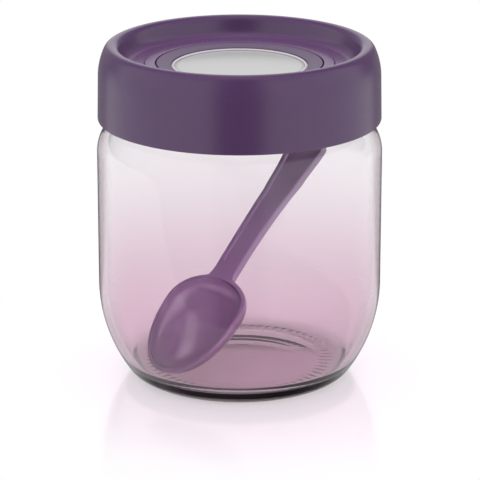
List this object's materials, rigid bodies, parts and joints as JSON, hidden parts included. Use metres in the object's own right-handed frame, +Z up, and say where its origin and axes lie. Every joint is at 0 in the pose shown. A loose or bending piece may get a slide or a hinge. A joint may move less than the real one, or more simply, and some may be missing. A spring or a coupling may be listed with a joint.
{
  "type": "glass storage jar",
  "caption": "Round glass storage jar with a rounded heel, a deep-skirted purple screw lid with a sunk top and a pale disc, and a loose spoon inside.",
  "frame": {"origin": "centre of the jar's footprint on the surface it stands on", "axes": "+Z up along the jar's axis, +X to the right and +Y away as seen in the picture"},
  "size_m": [0.1006, 0.1006, 0.1206],
  "materials": {
    "clear_glass": "clear with a faint pink cast, polished",
    "gasket_rubber": "matte white",
    "cap_plastic": "satin moulded",
    "lid_plastic": "satin purple",
    "bezel_plastic": "satin purple, a shade lighter",
    "disc_plastic": "satin pale grey",
    "spoon_plastic": "glossy purple"
  },
  "bodies": {
    "jar": {"glass_jar": "clear_glass"},
    "seal": {"lid_gasket": "gasket_rubber"},
    "lid": {"lid_shell": "lid_plastic", "lid_inner_cap": "cap_plastic", "bezel_ring": "bezel_plastic", "insert_disc": "disc_plastic"},
    "spoon": {"spoon": "spoon_plastic"}
  },
  "joints": [
    {"name": "lid_lift", "type": "slide", "parent": "jar", "child": "seal", "axis": [0, 0, 1], "range_m": [0, 0.06]},
    {"name": "lid_turn", "type": "hinge", "parent": "seal", "child": "lid", "pos_m": [0, 0, 0.1], "axis": [0, 0, 1], "range_deg": [0, 1080]},
    {"name": "spoon_swing", "type": "hinge", "parent": "jar", "child": "spoon", "pos_m": [0, 0, 0.05], "axis": [0, 0, 1], "continuous": true}
  ],
  "couplings": [
    {"joint": "lid_lift", "follows": "lid_turn", "m_per_rad": 0.003183}
  ]
}
